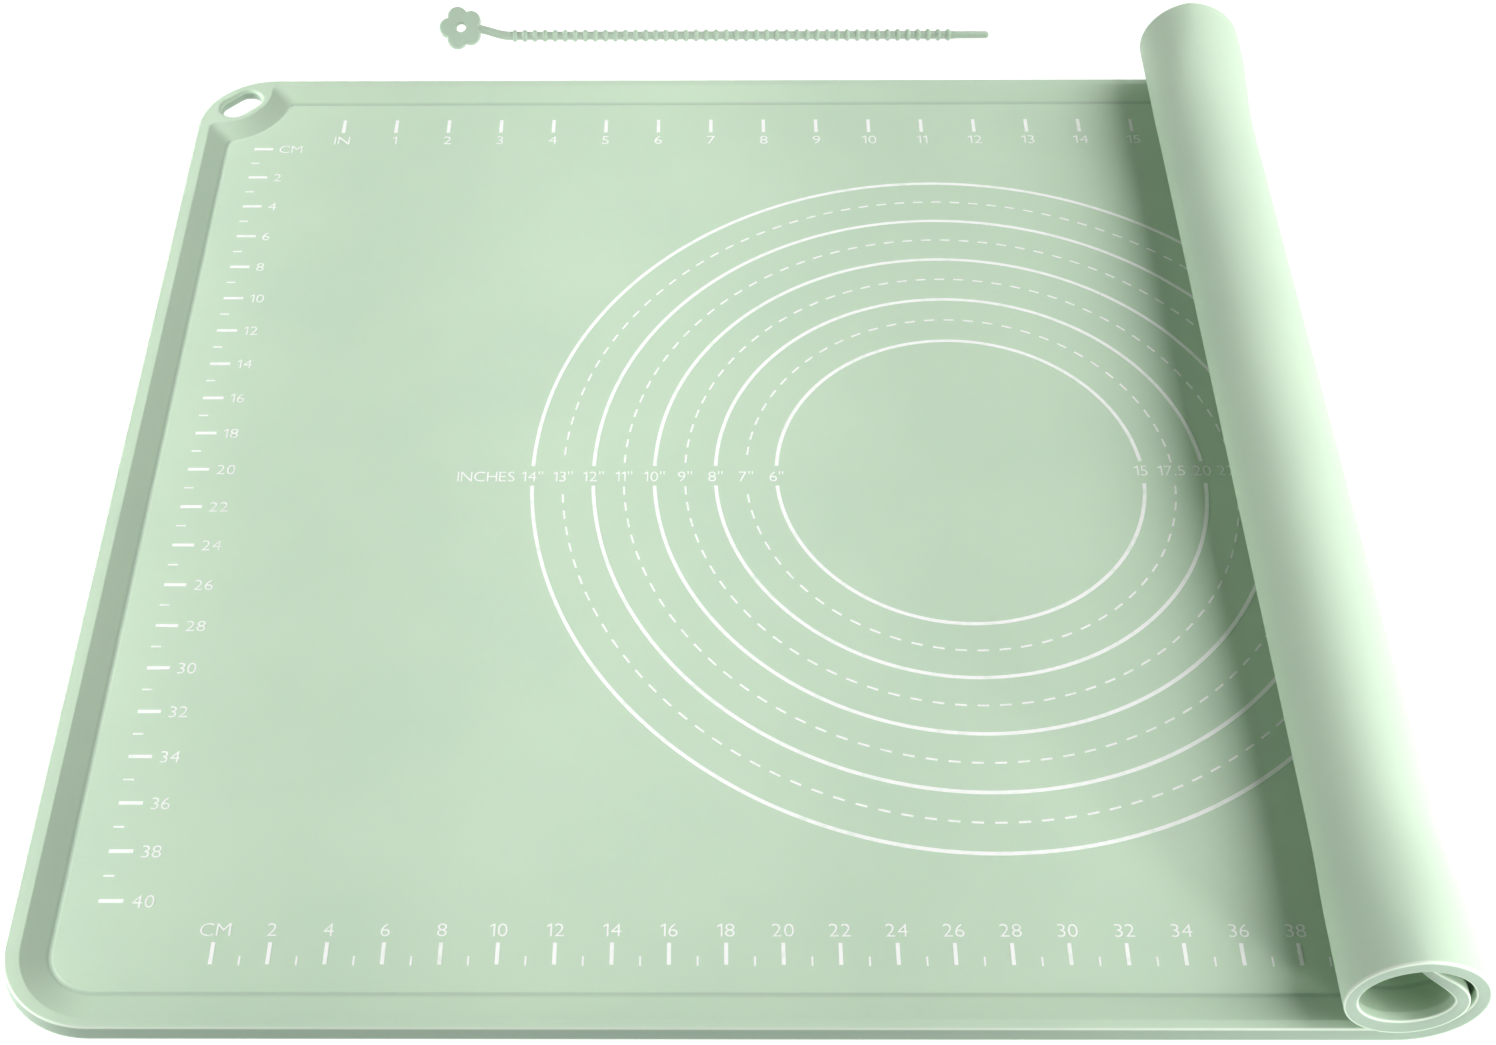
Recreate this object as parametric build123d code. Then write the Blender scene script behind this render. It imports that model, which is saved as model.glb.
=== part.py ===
from build123d import *
import os
from math import atan, cos, degrees, pi, radians, sin, sqrt, tan

# A silicone baking mat, lying flat with its right-hand end rolled up, and the beaded
# silicone tie that holds it when the whole mat is rolled. Millimetres.
# X runs along the long side to the right, Y to the back edge, Z up.
# The origin is the centre of the printed pastry rings, on the plane of the underside.

# The moulded mat
mat_length = 700.0
mat_width = 500.0
web_thickness = 1.0
rim_height = 5.0
rim_land = 4.0
rim_slope = 9.0
wall_draft_run = 1.0
corner_radius = 34.0
rim_edge_radius = 0.8

# The hanging eye in the back left corner
eye_length = 21.0
eye_width = 12.5
eye_inset = 11.5
eye_lip_radius = 0.9
eye_land = 4.25

# The rolled end
roll_radius = 27.6
layer_gap = 1.0
section_count = 20
section_length_share = 0.4041
curl_angles = (36.0, 60.0)
tongue_angles = (2.0, 2.0)
section_slit = 0.3

# The printed markings, a film of silicone ink on the floor
ink_thickness = 0.1
inch = 25.4
centimetre = 10.0
ring_count = 5
ring_step_inches = 2
ring_line_width = 1.2
ring_side_length = 10.0
ring_label_height = 7.0
tick_length = 8.5
tick_width = 1.5
minor_tick_length = 4.5
minor_tick_width = 0.9
back_scale_inset = 29.4
back_scale_start = 69.3
front_scale_inset = 33.7
front_scale_start = 71.3
side_scale_inset = 33.6
side_scale_start = 47.0
major_tick_every = 2
print_margin = 2.0

# The beaded tie, lying behind the mat
tie_bead_count = 44
tie_bead_diameter = 6.0
tie_bead_pitch = 5.08
tie_bead_flat_share = 0.3
tie_core_diameter = 3.8
tie_neck_diameter = 4.3
tie_neck_length = 14.0
tie_tail_diameter = 3.6
tie_tail_length = 18.0
tie_side_count = 10
petal_count = 5
petal_radius = 4.6
petal_ring_radius = 5.6
flower_thickness = 4.4
flower_hole_diameter = 4.6
flower_tilt = 35.0
tie_gap_behind_mat = 36.0
tie_start = 111.4

cut_over = 1.0

half_length = mat_length / 2
half_width = mat_width / 2
layer_pitch = rim_height + layer_gap
section_length = roll_radius * section_length_share
roll_start = half_length - section_length * section_count
land_inset = wall_draft_run + rim_land
crease_inset = land_inset + rim_slope


def rounded_outline(inset, level):
    """The mat's outline, moved in from its foot, as a face at a height."""
    face = RectangleRounded(
        mat_length - 2 * inset, mat_width - 2 * inset, corner_radius - inset
    )
    return Pos(0, 0, level) * face


def eye_centre():
    """The middle of the hanging eye, on the back left corner's diagonal."""
    along = (corner_radius - eye_inset) / sqrt(2)
    return -half_length + corner_radius - along, half_width - corner_radius + along


def boss_centre():
    """The middle of the arc that edges the raised land round the eye."""
    along = corner_radius / sqrt(2)
    return -half_length + corner_radius - along, half_width - corner_radius + along


def pocket_outline(slope_share, level):
    """The edge of the sunk floor: slope_share is 0 at the land and 1 at the crease."""
    boss_radius = eye_inset + eye_width / 2 + eye_land
    boss = Circle(boss_radius + rim_slope * slope_share)
    across, back = boss_centre()
    sunk = rounded_outline(land_inset + rim_slope * slope_share, level)
    return sunk - Pos(across, back, level) * boss


def mat_moulding():
    """The whole mat as it leaves the mould: web, raised rim and hanging eye."""
    draft = degrees(atan(wall_draft_run / rim_height))
    mat = extrude(rounded_outline(0, 0), amount=rim_height, taper=draft)
    top_edges = mat.faces().sort_by(Axis.Z)[-1].outer_wire().edges()
    mat = fillet(top_edges, rim_edge_radius)
    floor_edge = pocket_outline(1, web_thickness)
    land_edge = pocket_outline(0, rim_height)
    mat -= loft([floor_edge, land_edge], ruled=True)
    across, back = eye_centre()
    slot = SlotOverall(eye_length, eye_width)
    tool = extrude(slot, amount=rim_height + 2 * cut_over)
    mat -= Pos(across, back, -cut_over) * Rot(0, 0, 45) * tool
    land = mat.faces().sort_by(Axis.Z)[-1]
    lip = min(land.inner_wires(), key=lambda wire: wire.length)
    return fillet(lip.edges(), eye_lip_radius)


def rim_section():
    """The mat's cross-section from front to back, in the plane X = 0."""
    top = half_width - wall_draft_run
    land = half_width - land_inset
    crease = half_width - crease_inset
    half = [
        (half_width, 0),
        (top, rim_height),
        (land, rim_height),
        (crease, web_thickness),
    ]
    mirrored = [(-across, height) for across, height in reversed(half)]
    face = Plane.YZ * make_face(Polyline(half + mirrored, close=True))
    outer = face.vertices().filter_by(lambda corner: abs(corner.Y) > land)
    return fillet(outer.filter_by(lambda corner: corner.Z > web_thickness), rim_edge_radius)


class Stretch:
    """One short stretch of the rolled end: where it starts and how it bends."""

    def __init__(self, across, up, heading, bend, kink):
        self.across = across
        self.up = up
        self.heading = heading
        self.bend = bend
        self.kink = kink

    def end(self):
        """Where the stretch's underside ends."""
        chord = section_length
        middle = self.heading + self.bend / 2
        if self.bend:
            half = radians(self.bend) / 2
            chord = section_length * sin(half) / half
        return (
            self.across + chord * cos(radians(middle)),
            self.up + chord * sin(radians(middle)),
        )


def roll_stretches():
    """The rolled end's stretches: a closing spiral, a tighter curl, then a tongue."""
    stretches = []
    across, up, heading = roll_start, 0.0, 0.0
    spiral_count = section_count - len(curl_angles) - len(tongue_angles)
    for number in range(section_count):
        kink = 0.0
        if number < spiral_count:
            radius = roll_radius - layer_pitch * heading / 360
            bend = degrees(section_length / radius)
        elif number < spiral_count + len(curl_angles):
            bend = curl_angles[number - spiral_count]
        else:
            bend = 0.0
            kink = tongue_angles[number - section_count]
        stretch = Stretch(across, up, heading + kink, bend, kink)
        stretches.append(stretch)
        across, up = stretch.end()
        heading += bend + kink
    return stretches


def placed(stretch, solid):
    """A stretch's solid turned to its heading and set down at its start."""
    return Pos(stretch.across, 0, stretch.up) * Rot(0, -stretch.heading, 0) * solid


def bent_section(stretch, section):
    """A stretch of the spiral: the cross-section swept round the roll's centre."""
    radius = section_length / radians(stretch.bend)
    slit_angle = degrees(section_slit / radius)
    centre_line = Axis((0, 0, radius), (0, -1, 0))
    first = section.rotate(centre_line, slit_angle / 2)
    solid = revolve(first, centre_line, stretch.bend - slit_angle)
    return placed(stretch, solid)


def tongue_section(stretch, number, moulding):
    """A stretch of the free end, cut from the mat, bevelled where it bends in."""
    start = half_length - section_length * (section_count - number)
    end = start + section_length
    last = number == section_count - 1
    right = end + cut_over if last else end - section_slit / 2
    left = start + section_slit / 2
    lean = rim_height * tan(radians(stretch.kink))
    rise = rim_height + cut_over
    slant = lean * rise / rim_height
    drop = lean * cut_over / rim_height
    outline = [
        (left - drop, -cut_over),
        (right, -cut_over),
        (right, rise),
        (left + slant, rise),
    ]
    slice_face = Plane.XZ * make_face(Polyline(outline, close=True))
    cutter = extrude(slice_face, amount=half_width + cut_over, both=True)
    piece = moulding & cutter
    return placed(stretch, Pos(-start, 0, 0) * piece)


def ink_box(across, back, length, width):
    """One printed line as a thin film lying on the floor."""
    film = Box(length, width, ink_thickness)
    return Pos(across, back, web_thickness + ink_thickness / 2) * film


def ring_lines():
    """The solid pastry rings, open for their labels and where the mat curls up."""
    lines = []
    step = ring_step_inches * inch
    room = mat_width - 2 * (front_scale_inset + tick_length + ring_label_height)
    largest = room // step
    for number in range(ring_count):
        radius = (largest - number) * step / 2
        sides = round(2 * pi * radius / ring_side_length)
        outer = RegularPolygon(radius + ring_line_width / 2, sides)
        ring = outer - RegularPolygon(radius - ring_line_width / 2, sides)
        gap = Rectangle(2 * mat_length, ring_label_height)
        reach = roll_start - print_margin
        beyond = Pos(reach + mat_length / 2, 0, 0) * Rectangle(mat_length, 2 * mat_width)
        ring = ring - gap - beyond
        lines.append(extrude(Pos(0, 0, web_thickness) * ring, amount=ink_thickness))
    return Compound(children=[solid for line in lines for solid in line.solids()])


def inch_scale():
    """The inch ticks along the back edge, as far as the mat lies flat."""
    ticks = []
    place = back_scale_start - half_length
    while place < roll_start - print_margin:
        ticks.append(ink_box(place, half_width - back_scale_inset, tick_width, tick_length))
        place += inch
    return Compound(children=ticks)


def tick_size(count):
    """A centimetre tick's length and width: long ones every second centimetre."""
    if count % major_tick_every == 0:
        return tick_length, tick_width
    return minor_tick_length, minor_tick_width


def front_scale():
    """The centimetre ticks along the front edge, as far as the mat lies flat."""
    ticks = []
    place = front_scale_start - half_length
    while place < roll_start - print_margin:
        length, width = tick_size(len(ticks))
        back = front_scale_inset - half_width - (tick_length - length) / 2
        ticks.append(ink_box(place, back, width, length))
        place += centimetre
    return Compound(children=ticks)


def side_scale():
    """The centimetre ticks down the left edge."""
    ticks = []
    place = half_width - side_scale_start
    while place > side_scale_start - half_width:
        length, width = tick_size(len(ticks))
        ticks.append(ink_box(side_scale_inset - half_length, place, length, width))
        place -= centimetre
    return Compound(children=ticks)


def tie():
    """The beaded tie: flower head with its hole, plain neck, beads and plain tail."""
    head = Cylinder(petal_ring_radius, flower_thickness)
    for petal in range(petal_count):
        turn = Rot(0, 0, (petal + 0.5) * 360 / petal_count)
        head += turn * Pos(petal_ring_radius, 0, 0) * Cylinder(petal_radius, flower_thickness)
    head -= Cylinder(flower_hole_diameter / 2, flower_thickness + cut_over)
    whole = Pos(0, 0, flower_level()) * Rot(flower_tilt, 0, 0) * head + tie_cord()
    reach = petal_ring_radius + petal_radius
    across = tie_start + reach - half_length
    return Pos(across, half_width + tie_gap_behind_mat, 0) * whole


def flower_level():
    """The height of the head's middle, as it leans back on its front petal."""
    forward = petal_ring_radius * cos(pi / 2 / petal_count) + petal_radius
    tilt = radians(flower_tilt)
    return forward * sin(tilt) + flower_thickness / 2 * cos(tilt)


def tie_cord():
    """The tie's neck, beads and tail, lofted along X from inside the head."""
    outlines = []
    level = tie_bead_diameter / 2
    place = petal_ring_radius
    outlines.append(cord_outline(place, flower_level(), tie_neck_diameter))
    place += petal_radius + tie_neck_length
    outlines.append(cord_outline(place, level, tie_neck_diameter))
    flat = tie_bead_pitch * tie_bead_flat_share
    slope = (tie_bead_pitch - flat) / 2
    for bead in range(tie_bead_count):
        start = place + tie_bead_pitch * bead
        outlines.append(cord_outline(start + slope, level, tie_bead_diameter))
        outlines.append(cord_outline(start + slope + flat, level, tie_bead_diameter))
        outlines.append(cord_outline(start + tie_bead_pitch, level, tie_core_diameter))
    place += tie_bead_pitch * tie_bead_count + tie_tail_length
    tip = tie_tail_diameter / 2
    outlines.append(cord_outline(place - tip, level, tie_tail_diameter))
    outlines.append(cord_outline(place, level, tip))
    return loft(outlines, ruled=True)


def cord_outline(across, level, diameter):
    """The tie's cord cut across at one place."""
    corners = RegularPolygon(diameter / 2, tie_side_count)
    return Pos(across, 0, level) * (Plane.YZ * corners)


def build():
    """Every piece of the part, by node name."""
    moulding = mat_moulding()
    section = rim_section()
    pieces = {}
    keep = roll_start - section_slit / 2
    reach = keep + half_length + cut_over
    block = Box(reach, mat_width + 2 * cut_over, rim_height + 2 * cut_over)
    pieces["mat_panel"] = moulding & (Pos(keep - reach / 2, 0, rim_height / 2) * block)
    for number, stretch in enumerate(roll_stretches()):
        name = "roll_section_{:02d}".format(number + 1)
        if stretch.bend:
            pieces[name] = bent_section(stretch, section)
        else:
            pieces[name] = tongue_section(stretch, number, moulding)
    pieces["printed_pastry_rings"] = ring_lines()
    pieces["printed_inch_scale"] = inch_scale()
    pieces["printed_front_centimetre_scale"] = front_scale()
    pieces["printed_side_centimetre_scale"] = side_scale()
    pieces["beaded_tie"] = tie()
    return pieces


os.makedirs("parts", exist_ok=True)
for node, piece in build().items():
    export_step(piece, "parts/{}.step".format(node))
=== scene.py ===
from math import acos, asin, atan2, cos, degrees, floor, pi, radians, sin, sqrt, tan

import bmesh
import bpy
import numpy as np
from mathutils import Matrix, Vector


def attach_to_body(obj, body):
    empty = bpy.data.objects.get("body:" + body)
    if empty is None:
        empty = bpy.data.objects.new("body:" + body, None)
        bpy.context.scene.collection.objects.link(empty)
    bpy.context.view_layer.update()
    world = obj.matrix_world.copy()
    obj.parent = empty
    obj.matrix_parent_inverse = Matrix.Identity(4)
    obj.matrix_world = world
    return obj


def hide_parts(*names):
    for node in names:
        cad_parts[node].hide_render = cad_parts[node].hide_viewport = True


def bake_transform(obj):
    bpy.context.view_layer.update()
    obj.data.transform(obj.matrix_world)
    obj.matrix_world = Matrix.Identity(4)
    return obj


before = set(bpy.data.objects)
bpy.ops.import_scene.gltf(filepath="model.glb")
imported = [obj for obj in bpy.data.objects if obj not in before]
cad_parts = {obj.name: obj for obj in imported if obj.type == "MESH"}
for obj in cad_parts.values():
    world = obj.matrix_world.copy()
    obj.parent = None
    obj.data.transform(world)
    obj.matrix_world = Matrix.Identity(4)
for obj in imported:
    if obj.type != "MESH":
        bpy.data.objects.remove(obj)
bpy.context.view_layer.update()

# The looks of a silicone baking mat: its moulded rim and hanging eye, its rolled end, its
# printed scales and its beaded tie. Sizes are in millimetres, and become metres in meshes.
MM = 0.001
PHOTO_WIDTH = 1496

# The moulding, as the frame has it
LENGTH = 700.0
WIDTH = 500.0
WEB = 1.0
RIM = 5.0
CORNER = 34.0
WALL_RUN = 1.0
LAND = 5.0
CREASE = 14.0
EYE_LENGTH = 21.0
EYE_WIDTH = 12.5
EYE_INSET = 11.5
BOSS_RADIUS = 17.0

# Where the real rim strays from the frame's: a fine groove along the foot of its slope,
# and shifts, outward on the left and inward at the front, by the distance from the edge
GROOVE = 0.25
LEFT_INSETS = (0.0, 2.0, LAND)
LEFT_SHIFT = (1.5, 1.5, 0.0)
FRONT_INSETS = (0.1, 1.0, LAND, CREASE, 26.0)
FRONT_SHIFT = (1.3, 2.3, 1.6, 3.5, 0.0)

# The roll, as the frame has it: equal sections, each a share of the roll's radius long,
# on a spiral, then two tighter bends in degrees, then a nearly straight tongue
ROLL_RADIUS = 27.6
LAYER_PITCH = 6.0
SECTIONS = 20
SECTION = ROLL_RADIUS * 0.4041
CURLS = (36.0, 60.0)
TONGUE = (2.0, 2.0)
ROLL_START = LENGTH / 2 - SECTION * SECTIONS
FIRST_CUT = ROLL_START - SECTION / 2

# How many flat steps make one section's curve
MAT_STEPS = 8
PRINT_STEPS = 4

# Where the real roll strays from the frame's: thinner in the middle, leaning to the left,
# and at its two ends drawn in at the rim's foot and swollen at the rim's top
WAIST = 2.7
WAIST_START = 10.0
WAIST_RUN = 60.0
LEAN = 5.5
TUCK = 2.4
BULGE = 0.8
TUCK_RUN = 12.0

# The print: a white film that lies 0.1 mm proud, with its foot sunk in the floor
INK_TOP = WEB + 0.1
INK_FOOT = WEB - 0.05
INK_THICK = INK_TOP - INK_FOOT
INK_MIDDLE = (INK_TOP + INK_FOOT) / 2
INCH = 25.4
CENTIMETRE = 10.0
RING_LINE = 1.55
DASH = (0.8, 4.5, INK_THICK)
DASH_PITCH = 8.6
RING_LABEL = 5.7
INCH_LABEL = 6.0
CENTIMETRE_LABEL = 5.4

# How far the rings open for their labels, under and over the line through the middle
LEFT_OPENING = (6.0, 4.7)
RIGHT_OPENING = (4.9, 7.0)
DASH_OPENING = 5.5

# The tie: where it lies, in from the mat's left edge and out behind it, and its parts
TIE_LEFT = 111.4
TIE_BEHIND = 36.0
BEADS = 44
BEAD_PITCH = 5.08
BEAD_RADIUS = 3.0
BEAD_SQUASH = 0.56
NECK = 14.0
TAIL = 18.0
NECK_RADIUS = 2.1
CORD_RADIUS = 2.0
TAIL_RADIUS = 1.8
HEAD_REACH = 10.2
HEAD_LEVEL = 7.95
HEAD_THICK = 4.4
HEAD_TILT = radians(35)
PETALS = 5
PETAL_RING = 6.0
PETAL_RADIUS = 4.95
HOLE_RADIUS = 2.45


def colour(code):
    """An sRGB hex colour as the linear colour that a shader takes."""
    parts = [int(code[i : i + 2], 16) / 255 for i in (0, 2, 4)]
    line = [c / 12.92 if c <= 0.04045 else ((c + 0.055) / 1.055) ** 2.4 for c in parts]
    return (*line, 1.0)


def pattern(millimetres):
    """The scale of a pattern whose features have this size."""
    return 1 / (millimetres * MM)


def add(tree, kind, settings=None, inputs=None):
    """A node with its settings, and its inputs set to values or linked to sockets."""
    node = tree.nodes.new(kind)
    for name, value in (settings or {}).items():
        setattr(node, name, value)
    for name, value in (inputs or {}).items():
        if isinstance(value, bpy.types.NodeSocket):
            tree.links.new(value, node.inputs[name])
        else:
            node.inputs[name].default_value = value
    return node


# Materials


def moulded_silicone(name, light, dark, grit):
    """Food-grade silicone pressed in a blasted steel mould: an even satin, faintly grainy
    skin over a slightly milky body, a little uneven in tone where the mix swirled."""
    material = bpy.data.materials.new(name)
    material.use_nodes = True
    tree = material.node_tree
    shader = tree.nodes["Principled BSDF"]
    place = add(tree, "ShaderNodeTexCoord").outputs["Object"]
    swirl = add(
        tree,
        "ShaderNodeTexNoise",
        inputs={"Vector": place, "Scale": pattern(70), "Detail": 3.0, "Roughness": 0.5},
    )
    tone = add(tree, "ShaderNodeValToRGB", inputs={"Fac": swirl.outputs["Fac"]})
    tone.color_ramp.elements[0].position = 0.3
    tone.color_ramp.elements[0].color = colour(dark)
    tone.color_ramp.elements[1].position = 0.7
    tone.color_ramp.elements[1].color = colour(light)
    wipe = add(
        tree,
        "ShaderNodeTexNoise",
        inputs={"Vector": place, "Scale": pattern(30), "Detail": 2.0},
    )
    rough = add(
        tree,
        "ShaderNodeMapRange",
        inputs={"Value": wipe.outputs["Fac"], "To Min": 0.5, "To Max": 0.6},
    )
    # Blasting grit of about 0.1 mm is too fine to show, so it is drawn at 0.5 mm
    grain = add(
        tree,
        "ShaderNodeTexNoise",
        inputs={
            "Vector": place,
            "Scale": pattern(0.5),
            "Detail": 2.0,
            "Roughness": 0.6,
        },
    )
    bump = add(
        tree,
        "ShaderNodeBump",
        inputs={"Height": grain.outputs["Fac"], "Strength": grit, "Distance": 0.06 * MM},
    )
    # Painted light from a point attribute: a near-white painted highlight along the rim's
    # thin edges, and a dark grey-green painted shade on the outer wall, in the crease's
    # groove and on the eye's wall
    edge = add(tree, "ShaderNodeAttribute", settings={"attribute_name": "edge_tone"})
    highlight_share = add(
        tree,
        "ShaderNodeMapRange",
        inputs={"Value": edge.outputs["Fac"], "To Max": 0.45},
    )
    shade_share = add(
        tree,
        "ShaderNodeMapRange",
        inputs={"Value": edge.outputs["Fac"], "From Max": -1.0, "To Max": 0.5},
    )
    # Mix in the near-white painted highlight, then the dark painted shade
    highlighted = add(
        tree,
        "ShaderNodeMixRGB",
        inputs={
            "Fac": highlight_share.outputs["Result"],
            "Color1": tone.outputs["Color"],
            "Color2": colour("F6FBF2"),
        },
    )
    body = add(
        tree,
        "ShaderNodeMixRGB",
        inputs={
            "Fac": shade_share.outputs["Result"],
            "Color1": highlighted.outputs["Color"],
            "Color2": colour("6E8278"),
        },
    )
    tree.links.new(body.outputs["Color"], shader.inputs["Base Color"])
    tree.links.new(rough.outputs["Result"], shader.inputs["Roughness"])
    tree.links.new(bump.outputs["Normal"], shader.inputs["Normal"])
    shader.inputs["IOR"].default_value = 1.41
    shader.inputs["Specular IOR Level"].default_value = 0.5
    shader.inputs["Subsurface Weight"].default_value = 0.15
    shader.inputs["Subsurface Radius"].default_value = (0.6, 1.0, 0.6)
    shader.inputs["Subsurface Scale"].default_value = 2 * MM
    return material


def screen_ink():
    """White silicone ink pushed through a screen: flat and matte, a little thin in
    places, so that the green just shows through."""
    material = bpy.data.materials.new("screen_printed_silicone_ink")
    material.use_nodes = True
    tree = material.node_tree
    shader = tree.nodes["Principled BSDF"]
    place = add(tree, "ShaderNodeTexCoord").outputs["Object"]
    cover = add(
        tree,
        "ShaderNodeTexNoise",
        inputs={"Vector": place, "Scale": pattern(4), "Detail": 3.0},
    )
    tone = add(tree, "ShaderNodeValToRGB", inputs={"Fac": cover.outputs["Fac"]})
    tone.color_ramp.elements[0].position = 0.25
    tone.color_ramp.elements[0].color = colour("E8F3E8")
    tone.color_ramp.elements[1].position = 0.5
    tone.color_ramp.elements[1].color = colour("FBFDFA")
    # The screen's mesh of 0.15 mm leaves a faint tooth, drawn at 0.4 mm so that it shows
    tooth = add(
        tree, "ShaderNodeTexNoise", inputs={"Vector": place, "Scale": pattern(0.4)}
    )
    bump = add(
        tree,
        "ShaderNodeBump",
        inputs={"Height": tooth.outputs["Fac"], "Strength": 0.2, "Distance": 0.04 * MM},
    )
    tree.links.new(tone.outputs["Color"], shader.inputs["Base Color"])
    tree.links.new(bump.outputs["Normal"], shader.inputs["Normal"])
    shader.inputs["Roughness"].default_value = 0.65
    shader.inputs["IOR"].default_value = 1.41
    return material


def studio_floor():
    """Opal acrylic lit from below, matte and even: nearly white, with faint shadows."""
    material = bpy.data.materials.new("backlit_opal_acrylic")
    material.use_nodes = True
    tree = material.node_tree
    shader = tree.nodes["Principled BSDF"]
    place = add(tree, "ShaderNodeTexCoord").outputs["Object"]
    cloud = add(
        tree, "ShaderNodeTexNoise", inputs={"Vector": place, "Scale": pattern(400)}
    )
    glow = add(
        tree,
        "ShaderNodeMapRange",
        inputs={"Value": cloud.outputs["Fac"], "To Min": 0.9, "To Max": 0.94},
    )
    tree.links.new(glow.outputs["Result"], shader.inputs["Emission Strength"])
    shader.inputs["Emission Color"].default_value = colour("FFFFFF")
    shader.inputs["Base Color"].default_value = colour("8C8C8C")
    shader.inputs["Roughness"].default_value = 0.85
    shader.inputs["Specular IOR Level"].default_value = 0.1
    return material


mat_silicone = moulded_silicone("moulded_mat_silicone", "C6DCC3", "C1D8C0", 0.5)
tie_silicone = moulded_silicone("moulded_tie_silicone", "B9CDB8", "B3C9B3", 0.4)
ink = screen_ink()


# Meshes


def from_lists(name, points, faces, material, smooth=True):
    """An object with its place in its mesh, from points in metres."""
    mesh = bpy.data.meshes.new(name)
    mesh.from_pydata([tuple(p) for p in points], [], faces)
    mesh.polygons.foreach_set("use_smooth", [smooth] * len(mesh.polygons))
    mesh.materials.append(material)
    piece = bpy.data.objects.new(name, mesh)
    bpy.context.collection.objects.link(piece)
    return piece


def grown(tree, values):
    """The plain mesh that a geometry tree makes from these values."""
    mesh = bpy.data.meshes.new("seed")
    maker = bpy.data.objects.new("seed", mesh)
    modifier = maker.modifiers.new("grow", "NODES")
    modifier.node_group = tree
    for item in tree.interface.items_tree:
        if item.in_out == "INPUT" and item.name in values:
            modifier[item.identifier] = values[item.name]
    bpy.context.collection.objects.link(maker)
    ready = maker.evaluated_get(bpy.context.evaluated_depsgraph_get())
    result = bpy.data.meshes.new_from_object(ready)
    bpy.data.objects.remove(maker)
    return result


def skin(bm, rows, closed=False):
    """Faces between rings of points, and from the last ring to the first if closed."""
    pairs = list(zip(rows, rows[1:]))
    if closed:
        pairs.append((rows[-1], rows[0]))
    for one, two in pairs:
        for i in range(len(one)):
            j = (i + 1) % len(one)
            bm.faces.new((one[i], one[j], two[j], two[i]))


def new_tree(name, inputs):
    """A geometry tree with named inputs, and the sockets that bring them in."""
    tree = bpy.data.node_groups.new(name, "GeometryNodeTree")
    for label, kind in inputs:
        tree.interface.new_socket(name=label, in_out="INPUT", socket_type=kind)
    tree.interface.new_socket(
        name="Geometry", in_out="OUTPUT", socket_type="NodeSocketGeometry"
    )
    return tree, add(tree, "NodeGroupInput").outputs


def end_tree(tree, instances, material):
    """Instances made real, with their material, out of the tree."""
    real = add(tree, "GeometryNodeRealizeInstances", inputs={"Geometry": instances})
    dressed = add(
        tree,
        "GeometryNodeSetMaterial",
        inputs={"Geometry": real.outputs["Geometry"], "Material": material},
    )
    add(tree, "NodeGroupOutput", inputs={"Geometry": dressed.outputs["Geometry"]})
    return tree


def row_tree():
    """Equal bars in a row: the long and short ticks of the scales."""
    tree, given = new_tree(
        "tick_row",
        [
            ("Count", "NodeSocketInt"),
            ("Start", "NodeSocketVector"),
            ("Step", "NodeSocketVector"),
            ("Size", "NodeSocketVector"),
        ],
    )
    line = add(
        tree,
        "GeometryNodeMeshLine",
        settings={"mode": "OFFSET"},
        inputs={
            "Count": given["Count"],
            "Start Location": given["Start"],
            "Offset": given["Step"],
        },
    )
    bar = add(tree, "GeometryNodeMeshCube", inputs={"Size": given["Size"]})
    row = add(
        tree,
        "GeometryNodeInstanceOnPoints",
        inputs={"Points": line.outputs["Mesh"], "Instance": bar.outputs["Mesh"]},
    )
    return end_tree(tree, row.outputs["Instances"], ink)


def dashed_tree():
    """Dashes round a ring, left out where the ring opens for its label."""
    tree, given = new_tree(
        "dashed_ring",
        [
            ("Count", "NodeSocketInt"),
            ("Radius", "NodeSocketFloat"),
            ("Level", "NodeSocketFloat"),
            ("Dash", "NodeSocketVector"),
            ("Opening", "NodeSocketFloat"),
        ],
    )
    ring = add(
        tree,
        "GeometryNodeMeshCircle",
        inputs={"Vertices": given["Count"], "Radius": given["Radius"]},
    )
    place = add(tree, "GeometryNodeInputPosition").outputs["Position"]
    parts = add(tree, "ShaderNodeSeparateXYZ", inputs={"Vector": place})
    away = add(
        tree,
        "ShaderNodeMath",
        settings={"operation": "ABSOLUTE"},
        inputs={0: parts.outputs["Y"]},
    )
    near = add(
        tree,
        "ShaderNodeMath",
        settings={"operation": "LESS_THAN"},
        inputs={0: away.outputs[0], 1: given["Opening"]},
    )
    opened = add(
        tree,
        "GeometryNodeDeleteGeometry",
        inputs={"Geometry": ring.outputs["Mesh"], "Selection": near.outputs[0]},
    )
    turn = add(
        tree,
        "FunctionNodeAlignRotationToVector",
        settings={"axis": "X", "pivot_axis": "Z"},
        inputs={"Vector": place},
    )
    dash = add(tree, "GeometryNodeMeshCube", inputs={"Size": given["Dash"]})
    dashes = add(
        tree,
        "GeometryNodeInstanceOnPoints",
        inputs={
            "Points": opened.outputs["Geometry"],
            "Instance": dash.outputs["Mesh"],
            "Rotation": turn.outputs["Rotation"],
        },
    )
    lift = add(tree, "ShaderNodeCombineXYZ", inputs={"Z": given["Level"]})
    lifted = add(
        tree,
        "GeometryNodeTransform",
        inputs={
            "Geometry": dashes.outputs["Instances"],
            "Translation": lift.outputs["Vector"],
        },
    )
    return end_tree(tree, lifted.outputs["Geometry"], ink)


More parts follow.
